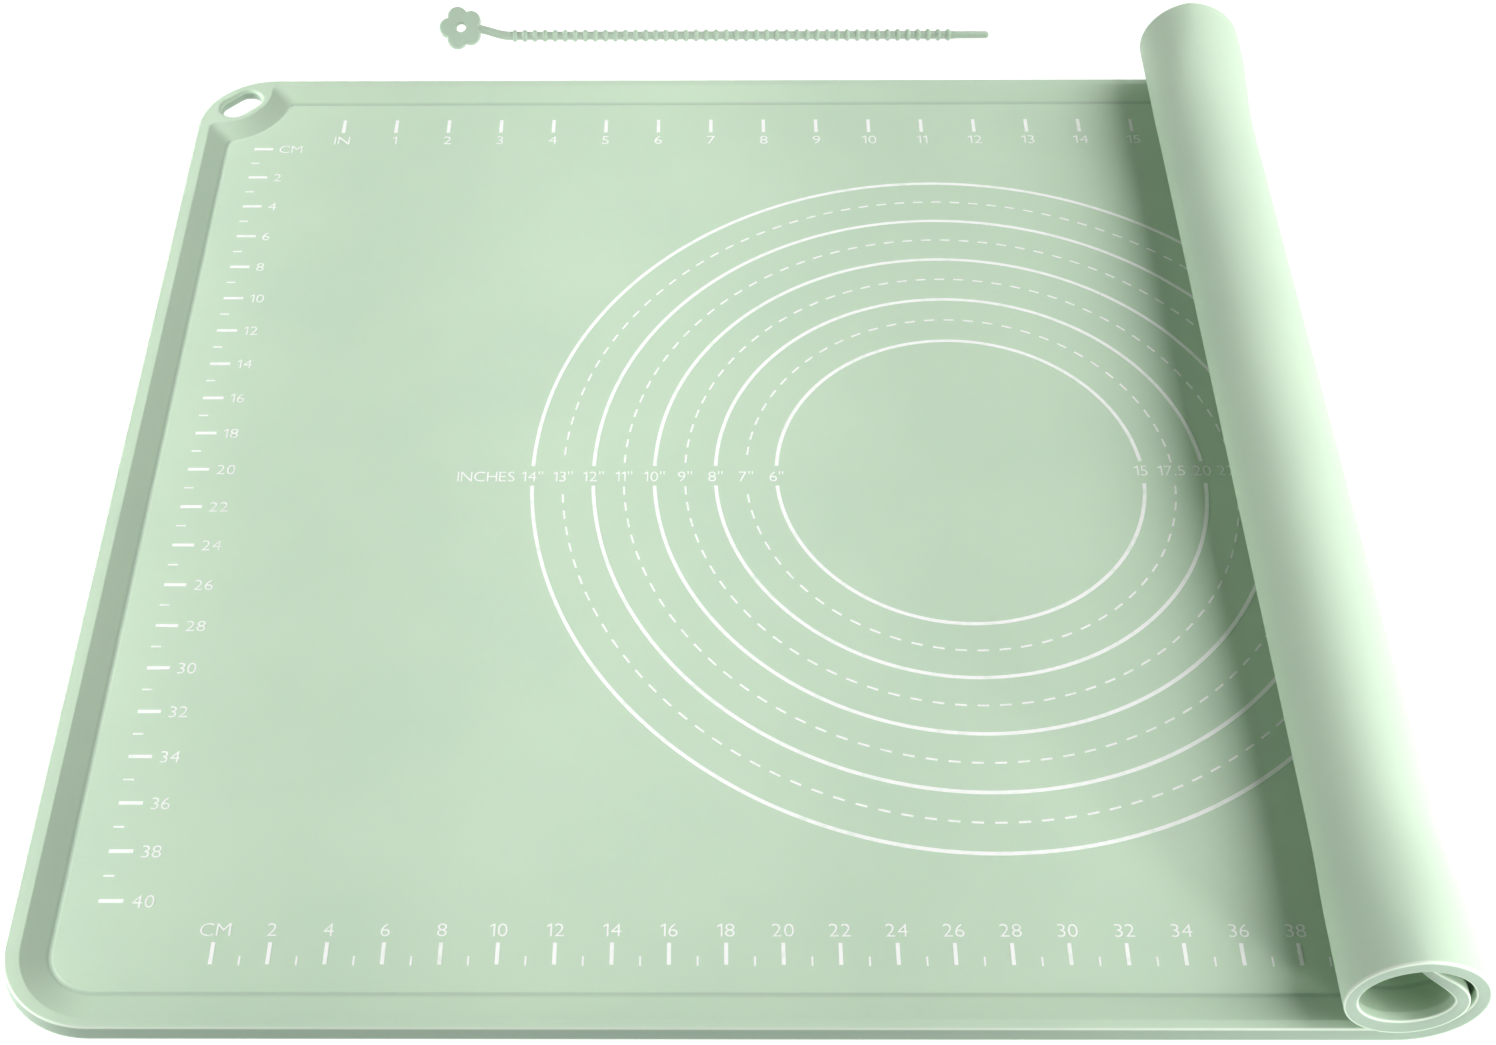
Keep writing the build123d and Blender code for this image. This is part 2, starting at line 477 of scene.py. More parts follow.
def bead_tree():
    """Beads in a row along the tie's cord."""
    tree, given = new_tree(
        "bead_row",
        [
            ("Count", "NodeSocketInt"),
            ("Start", "NodeSocketVector"),
            ("Step", "NodeSocketVector"),
            ("Radius", "NodeSocketFloat"),
            ("Stretch", "NodeSocketVector"),
        ],
    )
    line = add(
        tree,
        "GeometryNodeMeshLine",
        settings={"mode": "OFFSET"},
        inputs={
            "Count": given["Count"],
            "Start Location": given["Start"],
            "Offset": given["Step"],
        },
    )
    ball = add(
        tree,
        "GeometryNodeMeshUVSphere",
        inputs={"Segments": 20, "Rings": 10, "Radius": given["Radius"]},
    )
    smooth = add(
        tree, "GeometryNodeSetShadeSmooth", inputs={"Geometry": ball.outputs["Mesh"]}
    )
    row = add(
        tree,
        "GeometryNodeInstanceOnPoints",
        inputs={
            "Points": line.outputs["Mesh"],
            "Instance": smooth.outputs["Geometry"],
            "Scale": given["Stretch"],
        },
    )
    return end_tree(tree, row.outputs["Instances"], tie_silicone)


# The flat moulding, in loops from the underside over the rim to the floor


def rounding(corner, arriving, leaving, radius, steps):
    """Points of an arc that rounds a profile's corner between two directions."""
    corner, arriving, leaving = np.array(corner), np.array(arriving), np.array(leaving)
    arriving = arriving / np.linalg.norm(arriving)
    leaving = leaving / np.linalg.norm(leaving)
    turn = acos(float(np.clip(arriving @ leaving, -1, 1)))
    reach = radius * tan(turn / 2)
    side = leaving - (leaving @ arriving) * arriving
    side = side / np.linalg.norm(side)
    start = corner - arriving * reach
    centre = start + side * radius
    spots = [turn * i / steps for i in range(steps + 1)]
    return [
        tuple(centre + radius * (arriving * sin(a) - side * cos(a))) for a in spots
    ]


# The steps of a loop round the mat: each eased end and the arc between them at the corner
# with the eye, and each plain corner
ENDS = 6
MIDDLE = 14
BACK_LEFT = ENDS * 2 + MIDDLE
PLAIN = 16

# The steps round each end of the eye, and the eye's middle
EYE_STEPS = 16
EYE_ALONG = (CORNER - EYE_INSET) / sqrt(2)
EYE_CENTRE = (-LENGTH / 2 + CORNER - EYE_ALONG, WIDTH / 2 - CORNER + EYE_ALONG)


def boss_corner(inset):
    """The sunk floor's edge round the eye: a hollow arc with eased ends."""
    across = -LENGTH / 2 + CORNER - CORNER / sqrt(2)
    back = WIDTH / 2 - CORNER + CORNER / sqrt(2)
    radius = BOSS_RADIUS + inset
    rise = WIDTH / 2 - inset - back
    run = sqrt(radius**2 - rise**2)
    top = (across + run, WIDTH / 2 - inset)
    left = (-LENGTH / 2 + inset, back - run)
    ease = 4.5
    high = atan2(top[1] - back, top[0] - across) - ease / radius
    low = atan2(left[1] - back, left[0] - across) + ease / radius

    def on_arc(angle):
        return across + radius * cos(angle), back + radius * sin(angle)

    def eased(first, corner, last):
        shares = [i / ENDS for i in range(ENDS + 1)]
        return [
            tuple(
                (1 - t) ** 2 * a + 2 * t * (1 - t) * b + t * t * c
                for a, b, c in zip(first, corner, last)
            )
            for t in shares
        ]

    arc = [on_arc(high + (low - high) * i / MIDDLE) for i in range(1, MIDDLE)]
    before = eased((top[0] + ease, top[1]), top, on_arc(high))
    after = eased(on_arc(low), left, (left[0], left[1] - ease))
    return before + arc + after


def outline(inset, notched):
    """One loop round the mat, anticlockwise from the front right corner."""
    points = []
    radius = CORNER - inset
    for right, back, start in ((1, -1, -90), (1, 1, 0), (-1, 1, 90), (-1, -1, 180)):
        has_eye = right < back
        if has_eye and notched:
            points += boss_corner(inset)
            continue
        count = BACK_LEFT if has_eye else PLAIN
        centre = (right * (LENGTH / 2 - CORNER), back * (WIDTH / 2 - CORNER))
        for i in range(count + 1):
            angle = radians(start + 90 * i / count)
            points.append(
                (centre[0] + radius * cos(angle), centre[1] + radius * sin(angle))
            )
    return points


def eye_outline(grow):
    """The hanging eye's edge, moved out by a distance."""
    radius = EYE_WIDTH / 2 + grow
    half = (EYE_LENGTH - EYE_WIDTH) / 2
    points = []
    for end, start in ((1, -90), (-1, 90)):
        for i in range(EYE_STEPS + 1):
            angle = radians(start + 180 * i / EYE_STEPS)
            long = end * half + radius * cos(angle)
            wide = radius * sin(angle)
            points.append(
                (
                    EYE_CENTRE[0] + (long - wide) / sqrt(2),
                    EYE_CENTRE[1] + (long + wide) / sqrt(2),
                )
            )
    return points


def flat_moulding():
    """The whole mat, flat, as a closed bmesh in millimetres."""
    bm = bmesh.new()

    def ring(points, level):
        return [bm.verts.new((x, y, level)) for x, y in points]

    # The wall: the underside's eased edge, then a steep slope up to the land's edge
    wall = (WALL_RUN, RIM)
    edge = rounding((WALL_RUN, RIM), wall, (1, 0), 0.9, 6)
    outer = [(0.7, 0.0), (0.4, 0.0), (0.15, 0.1), (0.1, 0.35), (0.2, 0.8)]
    outer += [(0.55, 2.75), (0.75, 3.9)] + edge + [(edge[-1][0] + 0.3, RIM)]
    # The land's inner edge, the slope down, the groove at its foot, and the floor. A loop
    # just over the foot keeps the painted shade of the foot's groove off the slope.
    slope = (CREASE - LAND, WEB - RIM)
    brow = rounding((LAND, RIM), (1, 0), slope, 1.5, 4)
    foot = rounding((CREASE, WEB - GROOVE), slope, (1, 0), 0.4, 2)
    foot += [(CREASE + 0.9, WEB - GROOVE), (CREASE + 1.4, WEB - 0.02)]
    short = 1.2
    over_foot = (CREASE - short, WEB - GROOVE - short * slope[1] / slope[0])
    inner = [(brow[0][0] - 0.3, RIM)] + brow + [over_foot] + foot
    inner.append((foot[-1][0] + 0.5, WEB))
    loops = [ring(outline(inset, False), level) for inset, level in outer]
    sunk = [ring(outline(inset, True), level) for inset, level in inner]
    skin(bm, loops)
    skin(bm, sunk)
    # The land, from one end of the eye's corner the long way round to the other
    first = 2 * (PLAIN + 1)
    last = first + BACK_LEFT
    one, two = loops[-1], sunk[0]
    for i in range(len(one)):
        if not first <= i < last:
            j = (i + 1) % len(one)
            bm.faces.new((one[i], one[j], two[j], two[i]))
    bm.faces.new(sunk[-1])

    lip = rounding((0, -RIM), (-1, 0), (0, 1), 1.6, 6)
    hole = [(abs(out), -level) for out, level in lip]
    profile = [(hole[0][0] + 0.3, RIM)] + hole + [(0.0, 0.4), (0.1, 0.1), (0.35, 0.0)]
    eye = [ring(eye_outline(grow), level) for grow, level in profile]
    skin(bm, eye)
    # The eye's two tips split the flat regions round it
    tip = EYE_STEPS // 2
    other_tip = tip + EYE_STEPS + 1
    count = len(eye[0])

    def eye_faces(whole, rest, hole_ring):
        """Two faces that close a flat region round the eye."""
        arc = whole[first : last + 1]
        high_side = [hole_ring[i] for i in range(other_tip, tip - 1, -1)]
        low_side = [
            hole_ring[i % count] for i in range(tip + count, other_tip - 1, -1)
        ]
        bm.faces.new(arc + high_side)
        bm.faces.new([arc[0]] + low_side + [arc[-1]] + rest)

    eye_faces(loops[-1], sunk[0][first : last + 1][::-1], eye[0])
    under = loops[0]
    eye_faces(under, under[last + 1 :] + under[:first], eye[-1])
    bmesh.ops.recalc_face_normals(bm, faces=bm.faces[:])
    return bm


# The roll: the underside's line, smooth through the middle of every section


def along_bend(place, heading, bend, share):
    """Where a section's underside has got to at a share of its length."""
    half = radians(bend * share) / 2
    length = SECTION * share
    if bend:
        length = length * sin(half) / half
    direction = radians(heading + bend * share / 2)
    return place[0] + length * cos(direction), place[1] + length * sin(direction)


def roll_line():
    """The underside at every section's middle and at both ends: how far along the mat,
    then its place across and up, and its heading in degrees."""
    nodes = [(FIRST_CUT, FIRST_CUT, 0.0, 0.0)]
    place, heading = (ROLL_START, 0.0), 0.0
    spiral = SECTIONS - len(CURLS) - len(TONGUE)
    for number in range(SECTIONS):
        bend = 0.0
        if number < spiral:
            bend = degrees(SECTION / (ROLL_RADIUS - LAYER_PITCH * heading / 360))
        elif number < spiral + len(CURLS):
            bend = CURLS[number - spiral]
        else:
            heading += TONGUE[number - SECTIONS]
        halfway = along_bend(place, heading, bend, 0.5)
        along = ROLL_START + SECTION * (number + 0.5)
        nodes.append((along, *halfway, heading + bend / 2))
        place = along_bend(place, heading, bend, 1.0)
        heading += bend
    nodes.append((LENGTH / 2, *place, heading))
    return np.array(nodes)


NODES = roll_line()


def along_roll(along):
    """The underside's place and heading in radians, at distances along the mat: between
    two nodes a cubic that keeps to both headings and to an arc's length."""
    last = len(NODES) - 2
    k = np.clip(np.searchsorted(NODES[:, 0], along, side="right") - 1, 0, last)
    one, two = NODES[k], NODES[k + 1]
    t = np.clip((along - one[:, 0]) / (two[:, 0] - one[:, 0]), 0, 1)
    chord = two[:, 1:3] - one[:, 1:3]
    turn = np.radians(two[:, 3] - one[:, 3])
    straight = np.abs(turn) < 1e-6
    safe = np.where(straight, 1.0, turn)
    stretch = np.where(straight, 1.0, 2 * np.tan(safe / 4) / np.sin(safe / 2))
    size = (np.linalg.norm(chord, axis=1) * stretch)[:, None]

    def direction(row):
        angle = np.radians(row[:, 3])
        return np.stack([np.cos(angle), np.sin(angle)], 1) * size

    a, b = direction(one), direction(two)
    t = t[:, None]
    place = (
        one[:, 1:3]
        + t * a
        + t**2 * (3 * chord - 2 * a - b)
        + t**3 * (a + b - 2 * chord)
    )
    slope = a + 2 * t * (3 * chord - 2 * a - b) + 3 * t**2 * (a + b - 2 * chord)
    return place, np.arctan2(slope[:, 1], slope[:, 0])


def rim_place(points):
    """How far inside the mat's outline points are, and which way is outward there."""
    reach = np.array((LENGTH / 2, WIDTH / 2)) - CORNER
    off = np.maximum(np.abs(points[:, :2]) - reach, 0)
    away = np.linalg.norm(off, axis=1)
    outward = off / np.maximum(away, 1e-9)[:, None] * np.sign(points[:, :2])
    return CORNER - away, outward


def settled(points):
    """The rim as the photograph has it: a wider land on the left, and at the front a
    wall that leans in and a slope that reaches further in."""
    inset, outward = rim_place(points)
    left = np.interp(inset, LEFT_INSETS, LEFT_SHIFT)
    front = np.interp(inset, FRONT_INSETS, FRONT_SHIFT)
    side, end = np.minimum(outward[:, 0], 0) ** 2, np.minimum(outward[:, 1], 0) ** 2
    points[:, :2] += outward * (left * side - front * end)[:, None]
    return points


def edge_tone(points):
    """Painted light on the skin: a painted highlight (1) along the thin edges of the land
    and the underside, and painted shade (-1, or -0.5 in the crease's groove) on the outer
    wall and the eye's wall.
    """
    inset = rim_place(points)[0]
    level = points[:, 2]
    tone = np.zeros(len(points))

    def paint(where, low, high, value):
        tone[where & (level > low) & (level < high)] = value

    outside = inset < WALL_RUN + 1.2
    # Painted shade on the outer wall
    paint(outside, 0.6, 4.3, -1.0)
    # A painted highlight along the land's outer edge
    paint(outside, 4.3, 4.95, 1.0)
    # A painted highlight along the underside's outer edge
    paint(inset < 0.5, -1.0, 0.6, 1.0)
    # Painted shade in the groove at the foot of the slope
    groove = np.abs(inset - CREASE - 0.4) < 0.8
    paint(groove, 0.5, WEB - 0.1, -0.5)
    # Painted shade on the wall of the eye's hole
    from_eye = np.linalg.norm(points[:, :2] - np.array(EYE_CENTRE), axis=1)
    paint(from_eye < EYE_LENGTH / 2 + 0.3, 0.3, 3.6, -1.0)
    return tone


def eased_share(share):
    """A share from 0 to 1 with a soft start and a soft end."""
    share = np.clip(share, 0, 1)
    return share**2 * (3 - 2 * share)


def curled(points):
    """Flat points in millimetres, curled up past the roll's start, in metres."""
    points = settled(np.array(points, float))
    rolled = points[:, 0] > FIRST_CUT
    line, heading = along_roll(points[rolled, 0])
    level = points[rolled, 2]
    back = points[rolled, 1]
    from_end = WIDTH / 2 - np.abs(back)
    # 0 where the underside faces down, 1 where it faces up
    raised = (1 - np.cos(heading)) / 2
    waist = WAIST * eased_share((from_end - WAIST_START) / WAIST_RUN)
    # It leans more at the back than at the front
    lean = LEAN * (0.7 + 0.5 * back / WIDTH) * raised
    moved = np.stack([-np.sin(heading) * waist - lean, -2 * waist * raised], 1)
    # Nothing may end up under the table when the roll is opened
    normal = np.stack([-np.sin(heading), np.cos(heading)], 1)
    moved -= normal * np.minimum((moved * normal).sum(1), 0)[:, None]
    points[rolled, 0] = line[:, 0] - np.sin(heading) * level + moved[:, 0]
    points[rolled, 2] = line[:, 1] + np.cos(heading) * level + moved[:, 1]
    low = 1 - level / RIM
    at_end = eased_share((TUCK_RUN - from_end) / TUCK_RUN) * raised
    tuck = at_end * (TUCK * low - BULGE * (1 - low))
    points[rolled, 1] = back - np.sign(back) * tuck
    return points * MM


def slice_roll(bm, steps):
    """Cut a flat mesh across at every step of the roll, so that it can bend."""
    for i in range(SECTIONS * steps + 1):
        across = FIRST_CUT + SECTION * i / steps
        parts = bm.verts[:] + bm.edges[:] + bm.faces[:]
        bmesh.ops.bisect_plane(
            bm, geom=parts, dist=1e-4, plane_co=(across, 0, 0), plane_no=(1, 0, 0)
        )


SECTION_NAMES = ["roll_section_{:02d}".format(i + 1) for i in range(SECTIONS)]
BODIES = ["mat"] + SECTION_NAMES


def curled_pieces(bm, name, material, smooth):
    """Curl a flat bmesh and part it: the flat, one piece for each bend, and the end."""
    bm.verts.ensure_lookup_table()
    bm.verts.index_update()
    flat = np.array([v.co[:] for v in bm.verts])
    faces = [[v.index for v in f.verts] for f in bm.faces]
    bm.free()
    points = curled(flat)
    whole = from_lists("whole", points, faces, material)
    normals = np.empty(len(points) * 3)
    whole.data.vertex_normals.foreach_get("vector", normals)
    normals = normals.reshape(-1, 3)
    bpy.data.objects.remove(whole)
    groups = {}
    for face in faces:
        middle = sum(flat[i, 0] for i in face) / len(face)
        number = min(max(floor((middle - FIRST_CUT) / SECTION) + 1, 0), SECTIONS + 1)
        groups.setdefault(number, []).append(face)
    pieces = {}
    for number, group in sorted(groups.items()):
        used = sorted({i for face in group for i in face})
        at = {i: k for k, i in enumerate(used)}
        curl = "curl_{:02d}".format(number)
        part = {0: "flat", SECTIONS + 1: "end"}.get(number, curl)
        piece = from_lists(
            "{}_{}".format(name, part),
            points[used],
            [[at[i] for i in face] for face in group],
            material,
            smooth,
        )
        if smooth:
            piece.data.normals_split_custom_set_from_vertices(
                [tuple(n) for n in normals[used]]
            )
            # Per point, how much painted highlight or painted shade the skin gets
            shade = piece.data.attributes.new("edge_tone", "FLOAT", "POINT")
            shade.data.foreach_set("value", edge_tone(flat[used]))
        pieces[number] = piece
    return pieces


def attach(pieces):
    """Attach the flat piece to the mat and the end to the last section; each curl, which
    reaches from one section to the next, stays where it is with its place baked in.
    """
    ends = curled([(along, 0.0, 0.0) for along in NODES[:, 0]])
    for number, piece in pieces.items():
        if number == 0:
            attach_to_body(piece, "mat")
        elif number == SECTIONS + 1:
            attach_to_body(piece, BODIES[-1])
        else:
            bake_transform(piece)


def mat():
    """The moulded mat with its rolled end."""
    bm = flat_moulding()
    # Lengthwise cuts of the part that rolls, closer together where its waist begins
    stops = (236, 226, 216, 206, 196, 186, 170, 140, 80)
    for back in [0] + [side * stop for stop in stops for side in (1, -1)]:
        faces = [f for f in bm.faces if max(v.co.x for v in f.verts) > FIRST_CUT]
        edges = {e for f in faces for e in f.edges}
        verts = {v for f in faces for v in f.verts}
        bmesh.ops.bisect_plane(
            bm,
            geom=list(verts) + list(edges) + faces,
            dist=1e-4,
            plane_co=(0, back, 0),
            plane_no=(0, 1, 0),
        )
    slice_roll(bm, MAT_STEPS)
    pieces = curled_pieces(bm, "mat", mat_silicone, True)
    attach(pieces)
    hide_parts("mat_panel")
    for number in range(1, SECTIONS + 1):
        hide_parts(SECTION_NAMES[number - 1])


# The print


def ring_line(bm, radius, start, end):
    """One raised line of ink along part of a ring, in steps of about 3 mm."""
    inner, outer = radius - RING_LINE / 2, radius + RING_LINE / 2
    section = [(inner, INK_FOOT), (outer, INK_FOOT), (outer, INK_TOP), (inner, INK_TOP)]
    count = max(8, round(radius * (end - start) / 3.0))
    rows = []
    for i in range(count + 1):
        angle = start + (end - start) * i / count
        spots = [(reach * cos(angle), reach * sin(angle), z) for reach, z in section]
        rows.append([bm.verts.new(spot) for spot in spots])
    skin(bm, rows)
    bm.faces.new(rows[0])
    bm.faces.new(rows[-1])


# The plain typeface: its capitals' height in ems, the gap between its characters, how much
# its strokes are thinned on each side, and the flag at the top of a 1
CAPITAL = 0.73
GAP = 0.11
THINNED = 0.012
FLAG = ((0.01, 0.0), (-0.14, -0.1), (-0.14, -0.18), (0.01, -0.085))
GLYPHS = {}


def glyph(character):
    """One character as a flat-topped mesh in ems, with a flag on a plain 1."""
    curve = bpy.data.curves.new("glyph", "FONT")
    curve.body = character
    curve.size = 1.0
    curve.resolution_u = 3
    curve.extrude = 0.5
    curve.offset = -THINNED
    text = bpy.data.objects.new("glyph", curve)
    bpy.context.collection.objects.link(text)
    ready = text.evaluated_get(bpy.context.evaluated_depsgraph_get())
    mesh = bpy.data.meshes.new_from_object(ready)
    bpy.data.objects.remove(text)
    shape = bmesh.new()
    shape.from_mesh(mesh)
    if character == "1":
        left = min(v.co.x for v in shape.verts)
        high = max(v.co.y for v in shape.verts)
        rows = [
            [shape.verts.new((left + x, high + y, level)) for x, y in FLAG]
            for level in (-curve.extrude, curve.extrude)
        ]
        shape.faces.new(rows[0][::-1])
        shape.faces.new(rows[1])
        skin(shape, rows)
    shape.to_mesh(mesh)
    shape.free()
    return mesh


def lettering(bm, words, height, place, anchor="CENTER", widen=1.12):
    """Plain numbers and unit words of a height, evenly spaced. Their middle, or the middle
    of their left side, is at the place."""
    across, back = place
    scale = height / CAPITAL
    spots = []
    pen = 0.0
    for character in words:
        if character not in GLYPHS:
            GLYPHS[character] = glyph(character)
        points = np.array([v.co[:] for v in GLYPHS[character].vertices])
        left, right = points[:, 0].min(), points[:, 0].max()
        spots.append((GLYPHS[character], pen - left))
        pen += right - left + GAP
    middle = 0.0 if anchor == "LEFT" else (pen - GAP) / 2
    for mesh, spot in spots:
        ready = mesh.copy()
        ready.transform(
            Matrix(
                (
                    (scale * widen, 0, 0, across + (spot - middle) * scale * widen),
                    (0, scale, 0, back - height / 2),
                    (0, 0, INK_THICK, INK_MIDDLE),
                    (0, 0, 0, 1),
                )
            )
        )
        bm.from_mesh(ready)
        bpy.data.meshes.remove(ready)


def ring_print(bm, dashes):
    """The pastry rings, 14 to 6 inch, and the two rows of sizes that cross them."""
    for size in (14, 12, 10, 8, 6):
        radius = size * INCH / 2
        left_under, left_over = [asin(open_by / radius) for open_by in LEFT_OPENING]
        right_under, right_over = [asin(open_by / radius) for open_by in RIGHT_OPENING]
        ring_line(bm, radius, right_over, pi - left_over)
        ring_line(bm, radius, pi + left_under, 2 * pi - right_under)
    for size in (13, 11, 9, 7):
        radius = size * INCH / 2
        mesh = grown(
            dashes,
            {
                "Count": round(2 * pi * radius / DASH_PITCH),
                "Radius": radius,
                "Level": INK_MIDDLE,
                "Dash": DASH,
                "Opening": DASH_OPENING,
            },
        )
        bm.from_mesh(mesh)
    # Inches on the left, and on the right the same rings in centimetres
    inches_back, metric_back = -0.9, 2.1
    lettering(bm, "INCHES", RING_LABEL, (-209.0, inches_back), "LEFT", 0.98)
    metric = ("35", "32.5", "30", "27.5", "25", "22.5", "20", "17.5", "15")
    for size, words in zip(range(14, 5, -1), metric):
        inches, radius = '{}"'.format(size), size * INCH / 2
        lettering(bm, inches, RING_LABEL, (-radius, inches_back), widen=1.0)
        lettering(bm, words, RING_LABEL, (radius - 0.6, metric_back), widen=1.0)
    lettering(bm, "CM", RING_LABEL, (199.0, metric_back), widen=1.0)


def scale_print(bm, ticks):
    """The inch scale at the back, and the centimetre scales at the front and left."""

    def row(count, start, step, size):
        """Ticks of a size across and back, from the middle of the first one."""
        mesh = grown(
            ticks,
            {
                "Count": count,
                "Start": (*start, INK_MIDDLE),
                "Step": (*step, 0.0),
                "Size": (*size, INK_THICK),
            },
        )
        bm.from_mesh(mesh)

    def labels(unit, numbers, height, start, step, anchor="CENTER"):
        """The unit's name at nought, then the numbers, one step of the scale apart."""
        lettering(bm, unit, height, start, anchor)
        for count in numbers:
            place = (start[0] + step[0] * count, start[1] + step[1] * count)
            lettering(bm, str(count), height, place, anchor)

    nought, last = -280.7, 22
    row(last + 1, (nought, 219.2), (INCH, 0.0), (1.65, 9.1))
    labels("IN", range(1, last + 1), INCH_LABEL, (nought, 209.3), (INCH, 0.0))

    two = 2 * CENTIMETRE
    nought, last = -278.7, 56
    row(last // 2 + 1, (nought, -217.2), (two, 0.0), (1.4, 8.4))
    row(last // 2, (nought + CENTIMETRE, -220.0), (two, 0.0), (0.65, 3.6))
    even = range(2, last + 1, 2)
    labels("CM", even, CENTIMETRE_LABEL, (nought, -208.0), (CENTIMETRE, 0.0))

    nought, last = 203.0, 40
    row(last // 2 + 1, (-317.7, nought), (0.0, -two), (8.9, 1.5))
    row(last // 2, (-320.3, nought - CENTIMETRE), (0.0, -two), (4.0, 0.7))
    even = range(2, last + 1, 2)
    down = (0.0, -CENTIMETRE)
    labels("CM", even, CENTIMETRE_LABEL, (-310.1, nought), down, "LEFT")


def printed():
    """All the print, curled with the mat."""
    bm = bmesh.new()
    ring_print(bm, dashed_tree())
    scale_print(bm, row_tree())
    bmesh.ops.remove_doubles(bm, verts=bm.verts[:], dist=1e-5)
    bmesh.ops.recalc_face_normals(bm, faces=bm.faces[:])
    slice_roll(bm, PRINT_STEPS)
    pieces = curled_pieces(bm, "print", ink, False)
    attach(pieces)
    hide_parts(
        "printed_pastry_rings",
        "printed_inch_scale",
        "printed_front_centimetre_scale",
        "printed_side_centimetre_scale",
    )


# The tie


def round_angles(count):
    """The angles of a full turn in equal steps."""
    return [2 * pi * i / count for i in range(count)]


def tie():
    """The beaded tie: flower head, neck, beads and tail, lying behind the mat."""
    across = TIE_LEFT + HEAD_REACH - LENGTH / 2
    back, up = WIDTH / 2 + TIE_BEHIND, BEAD_RADIUS
    neck_end = HEAD_REACH + NECK
    tail_start = neck_end + BEADS * BEAD_PITCH
    tip = tail_start + TAIL - TAIL_RADIUS
    bm = bmesh.new()
    mesh = grown(
        bead_tree(),
        {
            "Count": BEADS,
            "Start": (across + neck_end + BEAD_PITCH / 2, back, up),
            "Step": (BEAD_PITCH, 0.0, 0.0),
            "Radius": BEAD_RADIUS,
            "Stretch": (BEAD_SQUASH, 1.0, 1.0),
        },
    )
    bm.from_mesh(mesh)
    # The cord's distance, radius and lift: down from inside the head, then on to the tip
    inside = 5.6
    line = []
    for i in range(11):
        share = i / 10
        lift = (HEAD_LEVEL - up) * (1 - eased_share(share))
        line.append((inside + (neck_end - inside) * share, NECK_RADIUS, lift))
    line += [(neck_end + 2, CORD_RADIUS, 0.0), (tail_start, CORD_RADIUS, 0.0)]
    line += [(tail_start + 1.5, TAIL_RADIUS, 0.0), (tip, TAIL_RADIUS, 0.0)]
    for angle in (0.4, 0.8, 1.15, 1.45):
        line.append((tip + TAIL_RADIUS * sin(angle), TAIL_RADIUS * cos(angle), 0.0))
    rings = []
    for place, radius, lift in line:
        ring = []
        for angle in round_angles(24):
            spot = (
                across + place,
                back + radius * cos(angle),
                up + lift + radius * sin(angle),
            )
            ring.append(bm.verts.new(spot))
        rings.append(ring)
    skin(bm, rings)
    bm.faces.new(rings[0])
    bm.faces.new(rings[-1])
    flower(bm, across, back, HEAD_LEVEL)
    bmesh.ops.recalc_face_normals(bm, faces=bm.faces[:])
    bm.verts.index_update()
    points = np.array([v.co[:] for v in bm.verts]) * MM
    faces = [[v.index for v in f.verts] for f in bm.faces]
    bm.free()
    piece = from_lists("tie", points, faces, tie_silicone)
    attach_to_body(piece, "tie")
    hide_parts("beaded_tie")


def flower(bm, across, back, up):
    """The head, leaning back: five round petals with eased edges, and a round hole."""
    half = HEAD_THICK / 2
    rim_ease, hole_ease, face = 1.1, 0.66, 0.3

    def reach(angle):
        """How far out the petals' edge is: a circle round each petal's middle."""
        off = angle % (2 * pi / PETALS) - pi / PETALS
        beside = PETAL_RING * sin(off)
        return PETAL_RING * cos(off) + sqrt(PETAL_RADIUS**2 - beside**2)

    def eased_edge(ease, side):
        """A quarter round from the edge's middle to a face: distances in, and levels."""
        turns = [pi / 2 * i / 4 for i in range(5)]
        edge = [(ease * (1 - cos(a)), side * (half - ease * (1 - sin(a)))) for a in turns]
        return edge + [(ease + face, side * half)]

    # Once round the thickness: up over the petals' edge and down into the hole, and back
    rows = []
    for side in (1, -1):
        loop = [("petals", *spot) for spot in eased_edge(rim_ease, side)]
        loop += [("hole", *spot) for spot in eased_edge(hole_ease, side)[::-1]]
        rows += loop if side > 0 else loop[::-1]
    rings = []
    for kind, inset, level in rows:
        ring = []
        for angle in round_angles(100):
            radius = HOLE_RADIUS + inset
            if kind == "petals":
                radius = reach(angle) - inset
            side = radius * sin(angle)
            spot = (
                across + radius * cos(angle),
                back + side * cos(HEAD_TILT) - level * sin(HEAD_TILT),
                up + side * sin(HEAD_TILT) + level * cos(HEAD_TILT),
            )
            ring.append(bm.verts.new(spot))
        rings.append(ring)
    skin(bm, rings, closed=True)


# The studio


def floor_and_walls():
    """A lit white floor, and round it a world that stands for the studio's walls."""
    size = 6.0
    corners = [(-size, -size, 0), (size, -size, 0), (size, size, 0), (-size, size, 0)]
    board = from_lists("studio_floor", corners, [(0, 1, 2, 3)], studio_floor(), False)
    world = bpy.data.worlds.new("studio")
    bpy.context.scene.world = world
    world.use_nodes = True
    tree = world.node_tree
    background = tree.nodes["Background"]
    # Pale walls up to 14 degrees above the floor, which fade to near darkness by 24
    place = add(tree, "ShaderNodeTexCoord").outputs["Generated"]
    parts = add(tree, "ShaderNodeSeparateXYZ", inputs={"Vector": place})
    walls = add(
        tree,
        "ShaderNodeMapRange",
        settings={"interpolation_type": "SMOOTHSTEP"},
        inputs={
            "Value": parts.outputs["Z"],
            "From Min": sin(radians(14)),
            "From Max": sin(radians(24)),
            "To Min": 0.22,
            "To Max": 0.02,
        },
    )
    tree.links.new(walls.outputs["Result"], background.inputs["Strength"])
    background.inputs["Color"].default_value = colour("FFFFFF")


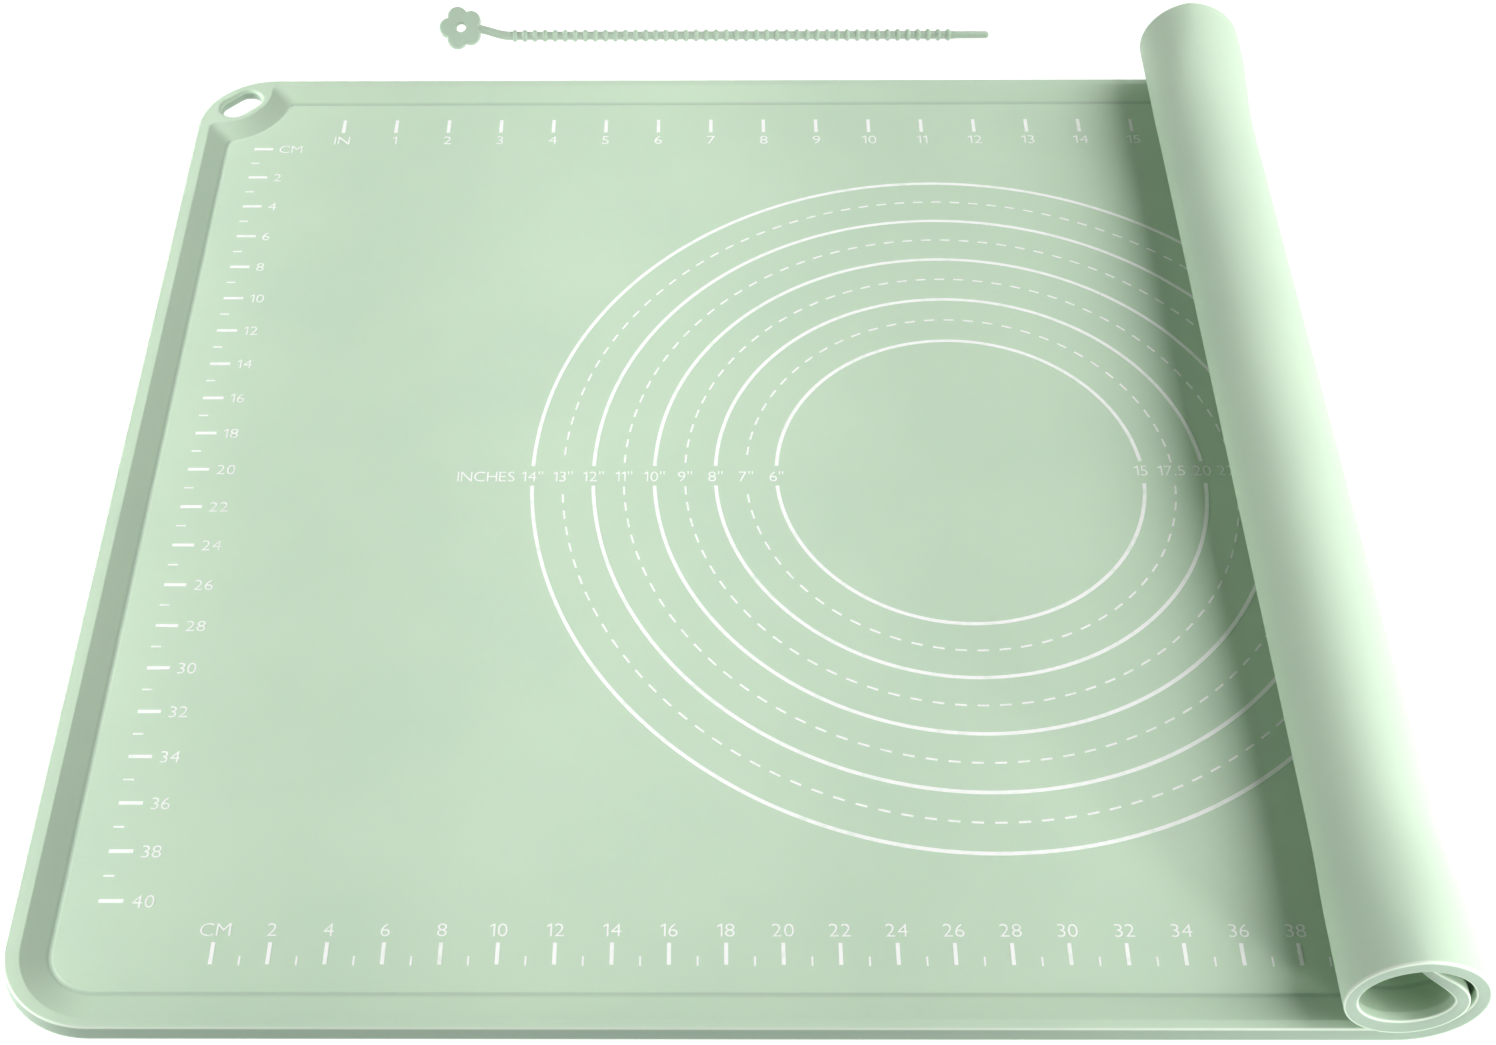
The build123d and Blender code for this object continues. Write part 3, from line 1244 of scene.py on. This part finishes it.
def lamps():
    """Four gridded strips: low on the left, wide over the roll, a small one at the roll's
    front ring, and one high over the middle."""
    strips = (
        # Name, place and target in metres, size in metres, spread in degrees, power
        ("left", (-0.62, 0.05, 0.15), (-0.35, 0.05, 0.0), (0.9, 0.1), 70, 1.05),
        ("over_roll", (0.42, 0.1, 0.45), (0.1, 0.1, 0.0), (1.6, 0.5), 110, 3.95),
        ("ring", (0.5, -0.75, 0.16), (0.19, -0.25, 0.03), (0.12, 0.08), 36, 0.13),
        ("middle", (-0.15, 0.0, 1.2), (-0.15, 0.01, 0.0), (0.15, 0.6), 14, 0.09),
    )
    for name, place, target, size, spread, power in strips:
        light = bpy.data.lights.new(name, "AREA")
        light.shape = "RECTANGLE"
        light.size, light.size_y = size
        light.spread = radians(spread)
        light.energy = power
        lamp = bpy.data.objects.new(name, light)
        bpy.context.collection.objects.link(lamp)
        lamp.location = place
        lamp.visible_camera = False
        aim = Vector(target) - lamp.location
        lamp.rotation_euler = aim.to_track_quat("-Z", "Y").to_euler()


def camera():
    """The photograph's view: place and turns fitted to the printed scales in it."""
    eye = np.array((-105.9943, -562.1619, 679.8186)) * MM
    yaw, pitch, roll = -0.0121, 0.8545, -0.0101
    # The focal length and the shifts are in pixels of the photograph's width
    focus, shift = 2114.96, (60.0, -100.0)
    ahead = np.array([sin(yaw) * cos(pitch), cos(yaw) * cos(pitch), -sin(pitch)])
    right = np.array([cos(yaw), -sin(yaw), 0.0])
    up = np.cross(right, ahead)
    level = cos(roll) * right + sin(roll) * up
    upright = -sin(roll) * right + cos(roll) * up
    data = bpy.data.cameras.new("camera")
    data.sensor_width = 36.0
    data.lens = focus / PHOTO_WIDTH * data.sensor_width
    data.shift_x = shift[0] / PHOTO_WIDTH
    data.shift_y = shift[1] / PHOTO_WIDTH
    view = bpy.data.objects.new("camera", data)
    bpy.context.collection.objects.link(view)
    columns = np.stack([level, upright, -ahead, eye], 1)
    view.matrix_world = Matrix([*columns.tolist(), [0, 0, 0, 1]])
    bpy.context.scene.camera = view
    # The plain transform, so that white board stays white and pale green stays pale
    bpy.context.scene.view_settings.view_transform = "Standard"


mat()
printed()
tie()
floor_and_walls()
lamps()
camera()
